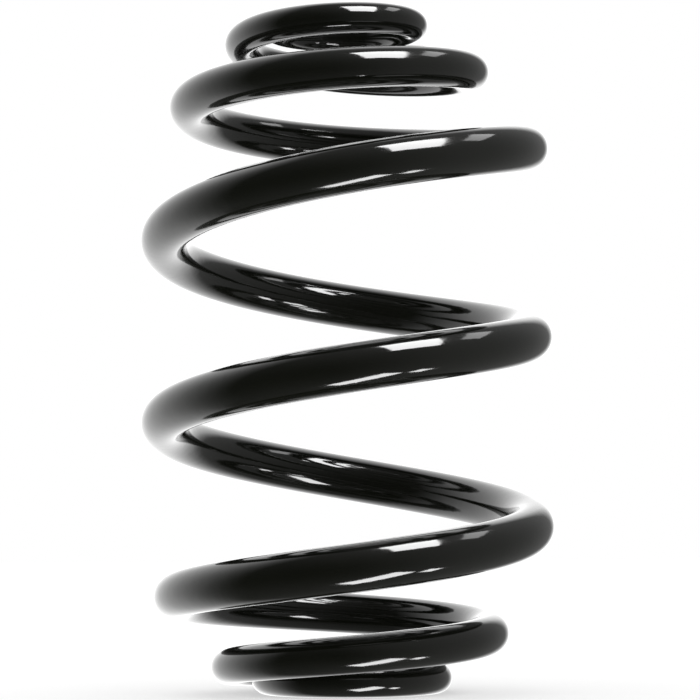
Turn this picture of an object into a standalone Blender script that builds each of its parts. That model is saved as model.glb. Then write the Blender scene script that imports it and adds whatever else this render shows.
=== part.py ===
"""Barrel-shaped suspension spring, one length of round steel wire wound right-handed.

The wire is thickest in the wide body turns. Towards both ends it thins while the turns close in to
small flat seat coils, so that the turns can nest inside each other when the spring is compressed.

Metres, +Z up. The origin is on the body's axis, level with the underside of the bottom seat coil.
"""

import math

import bpy
import numpy as np

# Wire diameters, in the body and in the two seat coils
BODY_WIRE = 0.0145
BOTTOM_WIRE = 0.0098
TOP_WIRE = 0.0084

# Coil radii, from the axis to the middle of the wire
BODY_RADIUS = 0.0567
BOTTOM_SEAT_RADIUS = 0.0306
BOTTOM_TIP_RADIUS = 0.0215
TOP_SEAT_RADIUS = 0.0209
TOP_TIP_RADIUS = 0.0205

# The five stretches of the coil, in turns, from the bottom tip upwards
BOTTOM_SEAT_TURNS = 0.86
BOTTOM_TAPER_TURNS = 1.54
BODY_TURNS = 2.26
TOP_TAPER_TURNS = 2.13
TOP_SEAT_TURNS = 0.38

# Rise per turn: none in the seat coils, most where the body starts and ends, a little less midway
TAPER_PITCH = 0.0205
BODY_PITCH = 0.0667
MIDDLE_PITCH = 0.0516

# Turns over which the rise changes from one stretch to the next
BOTTOM_LIFT_TURNS = 0.30
BODY_OPENING_TURNS = 0.76
BODY_CLOSING_TURNS = 0.50
TOP_LAYING_TURNS = 0.78

# Turns over which each change of radius, thickness or rise is rounded off
BEND_TURNS = 0.30

# Where the bottom tip is around the axis, counterclockwise from +X, and how far to -X the seat coils sit
BOTTOM_TIP_ANGLE = math.radians(120)
SEAT_COIL_SHIFT = 0.0017

# Fineness of the faceted solid
STEPS_PER_TURN = 36
WIRE_BEVEL_RESOLUTION = 4
WIRE_SIDES = 2 * WIRE_BEVEL_RESOLUTION + 4
BEND_SAMPLES = 9

# Satin-gloss black paint over the whole wire
PAINT_COLOUR = (0.006, 0.006, 0.007, 1.0)
PAINT_ROUGHNESS = 0.22


def clear_scene():
    for obj in list(bpy.data.objects):
        bpy.data.objects.remove(obj, do_unlink=True)


def stretch_ends():
    """Turn counts at the bottom tip, at each change of stretch and at the top tip."""
    lengths = (BOTTOM_SEAT_TURNS, BOTTOM_TAPER_TURNS, BODY_TURNS, TOP_TAPER_TURNS, TOP_SEAT_TURNS)
    return np.concatenate([[0.0], np.cumsum(lengths)])


def rounded(turns, stations, values):
    """Straight lines through the stations, averaged over BEND_TURNS so that no corner is sharp."""
    offsets = np.linspace(-BEND_TURNS / 2, BEND_TURNS / 2, BEND_SAMPLES)
    return np.mean([np.interp(turns + offset, stations, values) for offset in offsets], axis=0)


def wire_radii(turns):
    _, lower, opened, closing, upper, _ = stretch_ends()
    values = (BOTTOM_WIRE / 2, BODY_WIRE / 2, BODY_WIRE / 2, TOP_WIRE / 2)
    return rounded(turns, (lower, opened, closing, upper), values)


def coil_radii(turns):
    values = (
        BOTTOM_TIP_RADIUS,
        BOTTOM_SEAT_RADIUS,
        BODY_RADIUS,
        BODY_RADIUS,
        TOP_SEAT_RADIUS,
        TOP_TIP_RADIUS,
    )
    return rounded(turns, stretch_ends(), values)


def heights(turns):
    """Heights of the wire's middle: the rise per turn, added up from the bottom tip."""
    _, lower, opened, closing, upper, _ = stretch_ends()
    stations = (
        lower,
        lower + BOTTOM_LIFT_TURNS,
        opened - BODY_OPENING_TURNS / 2,
        opened + BODY_OPENING_TURNS / 2,
        (opened + closing) / 2,
        closing - BODY_CLOSING_TURNS / 2,
        closing + BODY_CLOSING_TURNS / 2,
        upper - TOP_LAYING_TURNS,
        upper,
    )
    pitches = (
        0.0,
        TAPER_PITCH,
        TAPER_PITCH,
        BODY_PITCH,
        MIDDLE_PITCH,
        BODY_PITCH,
        TAPER_PITCH,
        TAPER_PITCH,
        0.0,
    )
    rise = rounded(turns, stations, pitches)
    steps = (rise[1:] + rise[:-1]) / 2 * np.diff(turns)
    return BOTTOM_WIRE / 2 + np.concatenate([[0.0], np.cumsum(steps)])


def wire_path():
    """Points along the middle of the wire, and the wire's radius at each."""
    total = stretch_ends()[-1]
    turns = np.linspace(0.0, total, round(total * STEPS_PER_TURN) + 1)
    radii = coil_radii(turns)
    angles = BOTTOM_TIP_ANGLE + 2 * math.pi * turns
    shifts = SEAT_COIL_SHIFT * (BODY_RADIUS - radii) / (BODY_RADIUS - TOP_SEAT_RADIUS)
    xs = radii * np.cos(angles) - shifts
    ys = radii * np.sin(angles)
    return np.column_stack([xs, ys, heights(turns)]), wire_radii(turns)


def black_paint():
    material = bpy.data.materials.new("black_paint")
    material.use_nodes = True
    shader = material.node_tree.nodes["Principled BSDF"]
    shader.inputs["Base Color"].default_value = PAINT_COLOUR
    shader.inputs["Roughness"].default_value = PAINT_ROUGHNESS
    shader.inputs["Metallic"].default_value = 0.0
    return material


def coil_spring():
    """The whole spring as a round curve whose points carry the wire's changing thickness."""
    path, radii = wire_path()
    curve = bpy.data.curves.new("coil_spring", "CURVE")
    curve.dimensions = "3D"
    curve.twist_mode = "Z_UP"
    curve.bevel_depth = BODY_WIRE / 2
    curve.bevel_resolution = WIRE_BEVEL_RESOLUTION
    curve.use_fill_caps = True
    spline = curve.splines.new("POLY")
    spline.points.add(len(path) - 1)
    spline.use_smooth = True
    for point, place, radius in zip(spline.points, path, radii):
        point.co = (*place, 1.0)
        point.radius = radius / (BODY_WIRE / 2) / math.cos(math.pi / WIRE_SIDES)
        point.tilt = math.pi / WIRE_SIDES
    curve.materials.append(black_paint())
    spring = bpy.data.objects.new("coil_spring", curve)
    bpy.context.scene.collection.objects.link(spring)
    return spring


clear_scene()
coil_spring()
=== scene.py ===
"""The looks of a barrel-shaped suspension spring: painted wire, a pale floor, studio light and a camera.

Metres, +Z up, in the frame of the CAD part. The camera stands on the -Y side.
"""

import math

import bpy
import numpy as np
from mathutils import Matrix, Vector


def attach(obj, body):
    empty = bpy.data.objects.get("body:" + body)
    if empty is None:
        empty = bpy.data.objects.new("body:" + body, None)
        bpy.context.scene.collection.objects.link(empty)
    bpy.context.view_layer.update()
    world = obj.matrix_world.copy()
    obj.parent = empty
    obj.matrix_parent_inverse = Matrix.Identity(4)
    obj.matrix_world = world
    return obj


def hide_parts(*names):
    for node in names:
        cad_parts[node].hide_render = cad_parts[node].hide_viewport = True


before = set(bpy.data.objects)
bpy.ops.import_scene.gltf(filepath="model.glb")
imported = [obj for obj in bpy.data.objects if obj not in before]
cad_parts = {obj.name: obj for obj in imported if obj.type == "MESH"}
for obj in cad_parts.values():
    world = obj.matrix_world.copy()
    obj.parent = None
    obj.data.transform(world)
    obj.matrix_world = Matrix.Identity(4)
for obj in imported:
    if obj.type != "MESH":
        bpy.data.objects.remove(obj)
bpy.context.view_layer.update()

# Wire diameters, in the body and in the two seat coils
BODY_WIRE = 0.0145
BOTTOM_WIRE = 0.0098
TOP_WIRE = 0.0084

# Coil radii, from the axis to the middle of the wire
BODY_RADIUS = 0.0567
BOTTOM_SEAT_RADIUS = 0.0306
BOTTOM_TIP_RADIUS = 0.0215
TOP_SEAT_RADIUS = 0.0209
TOP_TIP_RADIUS = 0.0205

# The five stretches of the coil, in turns, from the bottom tip upwards
BOTTOM_SEAT_TURNS = 0.86
BOTTOM_TAPER_TURNS = 1.54
BODY_TURNS = 2.26
TOP_TAPER_TURNS = 2.13
TOP_SEAT_TURNS = 0.38

# Rise per turn: none in the seat coils, most where the body starts and ends, a little less midway
TAPER_PITCH = 0.0205
BODY_PITCH = 0.0667
MIDDLE_PITCH = 0.0516

# Turns over which the rise changes from one stretch to the next
BOTTOM_LIFT_TURNS = 0.30
BODY_OPENING_TURNS = 0.76
BODY_CLOSING_TURNS = 0.50
TOP_LAYING_TURNS = 0.78

# Turns over which each change of radius, thickness or rise is rounded off
BEND_TURNS = 0.30
BEND_SAMPLES = 9

# Where the bottom tip is around the axis, counterclockwise from +X, and how far to -X the seat coils sit
BOTTOM_TIP_ANGLE = math.radians(120)
SEAT_COIL_SHIFT = 0.0017

# Fineness of the wire
STEPS_PER_TURN = 144
WIRE_SIDES = 48

# The edge that the paint softens round each cut end, and the two rings that lead over the flat cut to it
CUT_EDGE = 0.0006
CUT_EDGE_STEPS = 5
CUT_FACE_INSETS = (3.0 * CUT_EDGE, 1.3 * CUT_EDGE)


def linear(hex_colour):
    """An sRGB colour such as #1a1a18 as the linear RGBA that Blender's sockets take."""
    shares = [int(hex_colour[i : i + 2], 16) / 255 for i in (1, 3, 5)]
    return (*[s / 12.92 if s <= 0.04045 else ((s + 0.055) / 1.055) ** 2.4 for s in shares], 1.0)


def add_node(tree, kind, values=None, links=None, **settings):
    """One shader node with its settings, the values of its sockets and what is linked into it."""
    node = tree.nodes.new(kind)
    for name, setting in settings.items():
        setattr(node, name, setting)
    for socket, value in (values or {}).items():
        node.inputs[socket].default_value = value
    for socket, source in (links or {}).items():
        tree.links.new(source, node.inputs[socket])
    return node


# The wire

def stretch_ends():
    """Turn counts at the bottom tip, at each change of stretch and at the top tip."""
    lengths = (BOTTOM_SEAT_TURNS, BOTTOM_TAPER_TURNS, BODY_TURNS, TOP_TAPER_TURNS, TOP_SEAT_TURNS)
    return np.concatenate([[0.0], np.cumsum(lengths)])


def rounded(turns, stations, values):
    """Straight lines through the stations, averaged over BEND_TURNS so that no corner is sharp."""
    offsets = np.linspace(-BEND_TURNS / 2, BEND_TURNS / 2, BEND_SAMPLES)
    return np.mean([np.interp(turns + offset, stations, values) for offset in offsets], axis=0)


def wire_radii(turns):
    """Half the wire's thickness at each turn count."""
    _, lower, opened, closing, upper, _ = stretch_ends()
    values = (BOTTOM_WIRE / 2, BODY_WIRE / 2, BODY_WIRE / 2, TOP_WIRE / 2)
    return rounded(turns, (lower, opened, closing, upper), values)


def coil_radii(turns):
    """Distances from the axis to the wire's middle at each turn count."""
    values = (
        BOTTOM_TIP_RADIUS,
        BOTTOM_SEAT_RADIUS,
        BODY_RADIUS,
        BODY_RADIUS,
        TOP_SEAT_RADIUS,
        TOP_TIP_RADIUS,
    )
    return rounded(turns, stretch_ends(), values)


def heights(turns):
    """Heights of the wire's middle: the rise per turn, added up from the bottom tip."""
    _, lower, opened, closing, upper, _ = stretch_ends()
    stations = (
        lower,
        lower + BOTTOM_LIFT_TURNS,
        opened - BODY_OPENING_TURNS / 2,
        opened + BODY_OPENING_TURNS / 2,
        (opened + closing) / 2,
        closing - BODY_CLOSING_TURNS / 2,
        closing + BODY_CLOSING_TURNS / 2,
        upper - TOP_LAYING_TURNS,
        upper,
    )
    pitches = (
        0.0,
        TAPER_PITCH,
        TAPER_PITCH,
        BODY_PITCH,
        MIDDLE_PITCH,
        BODY_PITCH,
        TAPER_PITCH,
        TAPER_PITCH,
        0.0,
    )
    rise = rounded(turns, stations, pitches)
    steps = (rise[1:] + rise[:-1]) / 2 * np.diff(turns)
    return BOTTOM_WIRE / 2 + np.concatenate([[0.0], np.cumsum(steps)])


def wire_path():
    """Points along the middle of the wire, and the wire's radius at each."""
    total = stretch_ends()[-1]
    turns = np.linspace(0.0, total, round(total * STEPS_PER_TURN) + 1)
    radii = coil_radii(turns)
    angles = BOTTOM_TIP_ANGLE + 2 * math.pi * turns
    shifts = SEAT_COIL_SHIFT * (BODY_RADIUS - radii) / (BODY_RADIUS - TOP_SEAT_RADIUS)
    xs = radii * np.cos(angles) - shifts
    ys = radii * np.sin(angles)
    return np.column_stack([xs, ys, heights(turns)]), wire_radii(turns)


def unit(vectors):
    """The vectors, each made one long."""
    return vectors / np.linalg.norm(vectors, axis=-1, keepdims=True)


def with_cut_ends(path, along, radii):
    """The path and radii with extra rings at both ends, which turn the corner into each square cut."""
    bends = np.linspace(0.0, math.pi / 2, CUT_EDGE_STEPS)
    insets = CUT_EDGE * (1 - np.sin(bends))
    depths = CUT_EDGE * (1 - np.cos(bends))
    insets = np.concatenate([CUT_FACE_INSETS, insets])
    depths = np.concatenate([np.zeros(len(CUT_FACE_INSETS)), depths])
    start = path[0] + depths[:, None] * along[0]
    end = path[-1] - depths[::-1, None] * along[-1]
    places = np.vstack([start, path[1:-1], end])
    directions = np.vstack(
        [np.tile(along[0], (len(start), 1)), along[1:-1], np.tile(along[-1], (len(end), 1))]
    )
    thicknesses = np.concatenate([radii[0] - insets, radii[1:-1], radii[-1] - insets[::-1]])
    return places, directions, thicknesses


def wound_wire():
    """The spring's wire as one closed skin of fine quads."""
    path, radii = wire_path()
    along = unit(np.gradient(path, axis=0))
    places, along, radii = with_cut_ends(path, along, radii)
    outward = unit(np.cross(along, (0.0, 0.0, 1.0)))
    over = np.cross(outward, along)
    around = np.linspace(0.0, 2 * math.pi, WIRE_SIDES, endpoint=False)
    spokes = (
        np.cos(around)[None, :, None] * outward[:, None] + np.sin(around)[None, :, None] * over[:, None]
    )
    points = (places[:, None] + radii[:, None, None] * spokes).reshape(-1, 3)
    faces = []
    for ring in range(len(places) - 1):
        for side in range(WIRE_SIDES):
            after = (side + 1) % WIRE_SIDES
            near, far = ring * WIRE_SIDES, (ring + 1) * WIRE_SIDES
            faces.append((near + side, near + after, far + after, far + side))
    last = (len(places) - 1) * WIRE_SIDES
    faces.append(tuple(range(WIRE_SIDES))[::-1])
    faces.append(tuple(last + side for side in range(WIRE_SIDES)))
    mesh = bpy.data.meshes.new("wound_wire")
    mesh.from_pydata(points.tolist(), [], faces)
    mesh.polygons.foreach_set("use_smooth", [True] * len(faces))
    mesh.validate()
    mesh.update()
    wire = bpy.data.objects.new("wound_wire", mesh)
    bpy.context.scene.collection.objects.link(wire)
    return wire


# Its paint

# Real widths of what is uneven in the coat, in millimetres
THICKNESS_PATCH_MM = 17.0
PEEL_MM = 3.3
DIMPLE_MM = 0.9
SPECK_SPACING_MM = 7.0
SPECK_RADIUS_MM = 0.35

# How high it stands, in metres. Real peel is about half as high, which wouldn't show in the render
PEEL_HEIGHT = 0.00002
DIMPLE_HEIGHT = 0.000002
SPECK_HEIGHT = 0.00003

# The blacks of a thin and a thick coat, and how matt each is
THIN_COAT_BLACK = "#080906"
THICK_COAT_BLACK = "#0c0d09"
THIN_COAT_ROUGHNESS = 0.06
THICK_COAT_ROUGHNESS = 0.12
PAINT_IOR = 1.5

# Noise textures keep to about this range
NOISE_LOW = 0.3
NOISE_HIGH = 0.7


def per_metre(width_mm):
    """The scale at which a texture's features have this real width, in coordinates of metres."""
    return 1000 / width_mm


def gloss_black_powder_coat():
    """Epoxy powder, sprayed on the bare spring and baked: a deep black coat with a hard, wet gloss.

    The black leans slightly to olive. The melted powder flows out almost level, and what stays of its grains
    is orange peel: ripples a few millimetres wide with finer dimples in them, which make the edges of the
    reflections waver. Here and there a speck of dust stands up under the coat. Where the coat is thicker it
    is a little less glossy.
    """
    material = bpy.data.materials.new("gloss_black_powder_coat")
    material.use_nodes = True
    tree = material.node_tree
    tree.nodes.clear()
    place = add_node(tree, "ShaderNodeTexCoord").outputs["Object"]
    thickness = add_node(
        tree,
        "ShaderNodeTexNoise",
        {"Scale": per_metre(THICKNESS_PATCH_MM), "Detail": 3.0},
        {"Vector": place},
    )
    colour = add_node(
        tree,
        "ShaderNodeMix",
        {"A": linear(THIN_COAT_BLACK), "B": linear(THICK_COAT_BLACK)},
        {"Factor": thickness.outputs["Fac"]},
        data_type="RGBA",
    )
    gloss = add_node(
        tree,
        "ShaderNodeMapRange",
        {
            "From Min": NOISE_LOW,
            "From Max": NOISE_HIGH,
            "To Min": THIN_COAT_ROUGHNESS,
            "To Max": THICK_COAT_ROUGHNESS,
        },
        {"Value": thickness.outputs["Fac"]},
    )
    peel = add_node(
        tree,
        "ShaderNodeTexNoise",
        {"Scale": per_metre(PEEL_MM), "Detail": 1.0},
        {"Vector": place},
    )
    dimples = add_node(
        tree,
        "ShaderNodeTexNoise",
        {"Scale": per_metre(DIMPLE_MM), "Detail": 1.0},
        {"Vector": place},
    )
    to_speck = add_node(
        tree,
        "ShaderNodeTexVoronoi",
        {"Scale": per_metre(SPECK_SPACING_MM)},
        {"Vector": place},
    )
    speck = add_node(
        tree,
        "ShaderNodeMapRange",
        {"From Max": SPECK_RADIUS_MM / SPECK_SPACING_MM, "To Min": SPECK_HEIGHT, "To Max": 0.0},
        {"Value": to_speck.outputs["Distance"]},
        interpolation_type="SMOOTHSTEP",
    )
    dimpled = add_node(
        tree,
        "ShaderNodeMath",
        {1: DIMPLE_HEIGHT},
        {0: dimples.outputs["Fac"], 2: speck.outputs["Result"]},
        operation="MULTIPLY_ADD",
    )
    height = add_node(
        tree,
        "ShaderNodeMath",
        {1: PEEL_HEIGHT},
        {0: peel.outputs["Fac"], 2: dimpled.outputs[0]},
        operation="MULTIPLY_ADD",
    )
    surface = add_node(
        tree,
        "ShaderNodeBump",
        {"Strength": 1.0, "Distance": 1.0},
        {"Height": height.outputs[0]},
    )
    paint = add_node(
        tree,
        "ShaderNodeBsdfPrincipled",
        {"IOR": PAINT_IOR},
        {
            "Base Color": colour.outputs["Result"],
            "Roughness": gloss.outputs["Result"],
            "Normal": surface.outputs["Normal"],
        },
    )
    add_node(tree, "ShaderNodeOutputMaterial", links={"Surface": paint.outputs["BSDF"]})
    return material


wire = wound_wire()
wire.data.materials.append(gloss_black_powder_coat())
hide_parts("coil_spring")
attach(wire, "root")


# The floor

FLOOR_WIDTH = 12.0
FLOOR_PAINT = "#bcbcbc"
FLOOR_GLOW = 0.55


def pale_floor():
    """A plain matt white table top, which the gloss doesn't see.

    Its glow lifts it to white, and the spring's light shadow stays on it.
    """
    half = FLOOR_WIDTH / 2
    corners = [(-half, -half, 0.0), (half, -half, 0.0), (half, half, 0.0), (-half, half, 0.0)]
    mesh = bpy.data.meshes.new("floor")
    mesh.from_pydata(corners, [], [(0, 1, 2, 3)])
    floor = bpy.data.objects.new("floor", mesh)
    bpy.context.scene.collection.objects.link(floor)
    material = bpy.data.materials.new("matt_white_table")
    material.use_nodes = True
    tree = material.node_tree
    tree.nodes.clear()
    matt = add_node(tree, "ShaderNodeBsdfDiffuse", {"Color": linear(FLOOR_PAINT)})
    glow = add_node(
        tree, "ShaderNodeEmission", {"Color": linear("#ffffff"), "Strength": FLOOR_GLOW}
    )
    both = add_node(tree, "ShaderNodeAddShader", links={0: matt.outputs[0], 1: glow.outputs[0]})
    add_node(tree, "ShaderNodeOutputMaterial", links={"Surface": both.outputs[0]})
    mesh.materials.append(material)
    floor.visible_glossy = False
    floor.visible_shadow = False


pale_floor()


# Studio light

SPRING_MIDDLE = Vector((0.0, 0.0, 0.105))


def softbox(name, place, width, height, lean, radiance):
    """A square-cornered lamp, seen only as a reflection in the gloss.

    It faces the spring's middle, turned about the line to it by the lean, in degrees.
    """
    lamp = bpy.data.lights.new(name, "AREA")
    lamp.shape = "RECTANGLE"
    lamp.size = width
    lamp.size_y = height
    lamp.energy = radiance * math.pi * width * height
    box = bpy.data.objects.new(name, lamp)
    bpy.context.scene.collection.objects.link(box)
    away = Vector(place) - SPRING_MIDDLE
    facing = away.to_track_quat("Z", "Y").to_matrix() @ Matrix.Rotation(math.radians(lean), 3, "Z")
    box.matrix_world = Matrix.Translation(place) @ facing.to_4x4()
    box.visible_camera = False
    box.visible_diffuse = False


# Two lamps are high up, at the front and the right. The other two are below the floor, where only the gloss
# sees them, and draw the streaks under each turn
softbox("upper_softbox", (0.176, -0.188, 0.535), 0.21, 0.30, -15, 20.0)
softbox("upper_side_strip", (0.496, 0.071, 0.745), 0.15, 0.37, -67, 3.8)
softbox("lower_strip", (0.109, -0.207, -0.262), 0.10, 0.215, -33, 18.0)
softbox("lower_side_softbox", (0.523, -0.260, -0.544), 0.12, 0.117, -8, 17.0)


SWEEP_MIDDLE = (-0.08, 0.08, 0.105)
SWEEP_RADIUS = 0.26
SWEEP_HALF_HEIGHT = 1.7
SWEEP_STEPS = 96

# Its brightness at angles round its middle, in degrees from the camera's side: 90 is to the right, 180 is
# behind and 270 is to the left. It is even behind, and fades as it comes forwards at the left
SWEEP_BRIGHTNESS = (
    (113, 0.0),
    (130, 1.55),
    (150, 1.9),
    (190, 1.9),
    (220, 1.8),
    (250, 1.75),
    (270, 1.48),
    (290, 1.0),
    (310, 0.48),
    (330, 0.0),
)

# The sweep fades towards its lower and its upper edge, and both edges slant. A point's place along each of
# these directions says how far the fade has come, between the two lengths in metres
LOWER_EDGE_WAY = (-0.99, 1.18, 1.0)
LOWER_FADE = (-0.5, 0.1)
UPPER_EDGE_WAY = (0.87, -1.03, 1.0)
UPPER_FADE = (0.05, 1.15)


def white_sweep():
    """White paper curved round the back and the left of the spring. It is seen only in the gloss."""
    first, last = math.radians(SWEEP_BRIGHTNESS[0][0]), math.radians(SWEEP_BRIGHTNESS[-1][0])
    points = []
    for turn in np.linspace(first, last, SWEEP_STEPS + 1):
        x, y = SWEEP_RADIUS * math.sin(turn), -SWEEP_RADIUS * math.cos(turn)
        points += [(x, y, -SWEEP_HALF_HEIGHT), (x, y, SWEEP_HALF_HEIGHT)]
    faces = [(2 * i, 2 * i + 2, 2 * i + 3, 2 * i + 1) for i in range(SWEEP_STEPS)]
    mesh = bpy.data.meshes.new("white_sweep")
    mesh.from_pydata(points, [], faces)
    sweep = bpy.data.objects.new("white_sweep", mesh)
    sweep.location = SWEEP_MIDDLE
    bpy.context.scene.collection.objects.link(sweep)
    mesh.materials.append(lit_white_paper())
    sweep.visible_camera = False
    sweep.visible_diffuse = False
    sweep.visible_transmission = False
    sweep.visible_shadow = False


def lit_white_paper():
    """Matt white paper with light thrown on it. It only adds light, so what is behind it still shows."""
    material = bpy.data.materials.new("lit_white_paper")
    material.use_nodes = True
    tree = material.node_tree
    tree.nodes.clear()
    place = add_node(tree, "ShaderNodeTexCoord").outputs["Object"]
    parts = add_node(tree, "ShaderNodeSeparateXYZ", links={"Vector": place})
    leftwards = add_node(
        tree, "ShaderNodeMath", {1: -1.0}, {0: parts.outputs["X"]}, operation="MULTIPLY"
    )
    turn = add_node(
        tree,
        "ShaderNodeMath",
        links={0: leftwards.outputs[0], 1: parts.outputs["Y"]},
        operation="ARCTAN2",
    )
    share = add_node(
        tree,
        "ShaderNodeMapRange",
        {"From Min": -math.pi, "From Max": math.pi},
        {"Value": turn.outputs[0]},
    )
    round_about = add_node(tree, "ShaderNodeValToRGB", links={"Fac": share.outputs["Result"]})
    ramp = round_about.color_ramp
    brightest = max(level for _, level in SWEEP_BRIGHTNESS)
    while len(ramp.elements) < len(SWEEP_BRIGHTNESS):
        ramp.elements.new(0.5)
    for stop, (degrees, level) in zip(ramp.elements, SWEEP_BRIGHTNESS):
        stop.position = degrees / 360
        stop.color = (level / brightest, level / brightest, level / brightest, 1.0)
    over_lower_edge = add_node(
        tree, "ShaderNodeVectorMath", {1: LOWER_EDGE_WAY}, {0: place}, operation="DOT_PRODUCT"
    )
    from_below = add_node(
        tree,
        "ShaderNodeMapRange",
        {"From Min": LOWER_FADE[0], "From Max": LOWER_FADE[1], "To Min": 0.0, "To Max": brightest},
        {"Value": over_lower_edge.outputs["Value"]},
        interpolation_type="SMOOTHSTEP",
    )
    towards_upper_edge = add_node(
        tree, "ShaderNodeVectorMath", {1: UPPER_EDGE_WAY}, {0: place}, operation="DOT_PRODUCT"
    )
    upright = add_node(
        tree,
        "ShaderNodeMapRange",
        {"From Min": UPPER_FADE[0], "From Max": UPPER_FADE[1], "To Max": 0.0},
        {"Value": towards_upper_edge.outputs["Value"], "To Min": from_below.outputs["Result"]},
        interpolation_type="SMOOTHSTEP",
    )
    strength = add_node(
        tree,
        "ShaderNodeMath",
        links={0: round_about.outputs["Color"], 1: upright.outputs["Result"]},
        operation="MULTIPLY",
    )
    glow = add_node(
        tree, "ShaderNodeEmission", {"Color": linear("#ffffff")}, {"Strength": strength.outputs[0]}
    )
    clear = add_node(tree, "ShaderNodeBsdfTransparent")
    both = add_node(tree, "ShaderNodeAddShader", links={0: glow.outputs[0], 1: clear.outputs[0]})
    add_node(tree, "ShaderNodeOutputMaterial", links={"Surface": both.outputs[0]})
    return material


white_sweep()


# The dim room that the gloss sees: the direction in which it gets brighter, from where to where along it,
# its darkest and its brightest level, and what is added straight overhead and underfoot
ROOM_LIGHT_WAY = (1.0, 0.3, 0.25)
ROOM_FADE = (-0.6, 1.2)
ROOM_DARKEST = 0.03
ROOM_BRIGHTEST = 0.36
OVERHEAD_GAIN = 0.13


def surround():
    """White all round for the camera and matt surfaces. The gloss sees a dim room, darkest at the left."""
    world = bpy.data.worlds.new("surround")
    bpy.context.scene.world = world
    world.use_nodes = True
    tree = world.node_tree
    tree.nodes.clear()
    way = add_node(tree, "ShaderNodeTexCoord").outputs["Generated"]
    side = add_node(
        tree, "ShaderNodeVectorMath", {1: ROOM_LIGHT_WAY}, {0: way}, operation="DOT_PRODUCT"
    )
    room = add_node(
        tree,
        "ShaderNodeMapRange",
        {
            "From Min": ROOM_FADE[0],
            "From Max": ROOM_FADE[1],
            "To Min": ROOM_DARKEST,
            "To Max": ROOM_BRIGHTEST,
        },
        {"Value": side.outputs["Value"]},
        interpolation_type="SMOOTHSTEP",
    )
    height = add_node(tree, "ShaderNodeSeparateXYZ", links={"Vector": way}).outputs["Z"]
    steep = add_node(
        tree, "ShaderNodeMath", {1: OVERHEAD_GAIN}, {0: height}, operation="MULTIPLY"
    )
    both_ends = add_node(
        tree,
        "ShaderNodeMath",
        links={0: height, 1: steep.outputs[0], 2: room.outputs["Result"]},
        operation="MULTIPLY_ADD",
    )
    light_path = add_node(tree, "ShaderNodeLightPath")
    white = add_node(tree, "ShaderNodeBackground", {"Color": linear("#ffffff"), "Strength": 1.0})
    dim = add_node(
        tree,
        "ShaderNodeBackground",
        {"Color": linear("#ffffff")},
        {"Strength": both_ends.outputs[0]},
    )
    seen = add_node(
        tree,
        "ShaderNodeMixShader",
        links={0: light_path.outputs["Is Glossy Ray"], 1: white.outputs[0], 2: dim.outputs[0]},
    )
    add_node(tree, "ShaderNodeOutputWorld", links={"Surface": seen.outputs[0]})


surround()


# The camera

CAMERA_PLACE = (0.0011, -0.9051, 0.04668)
LOOK_UP = math.radians(3.759)
ROLL = math.radians(-0.296)
LENS_MM = 150.08
SENSOR_MM = 36.0


def photo_camera():
    """Low in front, looking slightly up at the whole spring."""
    camera = bpy.data.objects.new("camera", bpy.data.cameras.new("camera"))
    bpy.context.scene.collection.objects.link(camera)
    camera.data.sensor_width = SENSOR_MM
    camera.data.lens = LENS_MM
    pitch = Matrix.Rotation(math.pi / 2 + LOOK_UP, 4, "X")
    roll = Matrix.Rotation(ROLL, 4, "Z")
    camera.matrix_world = Matrix.Translation(CAMERA_PLACE) @ pitch @ roll
    bpy.context.scene.camera = camera


photo_camera()
bpy.context.scene.view_settings.view_transform = "Standard"
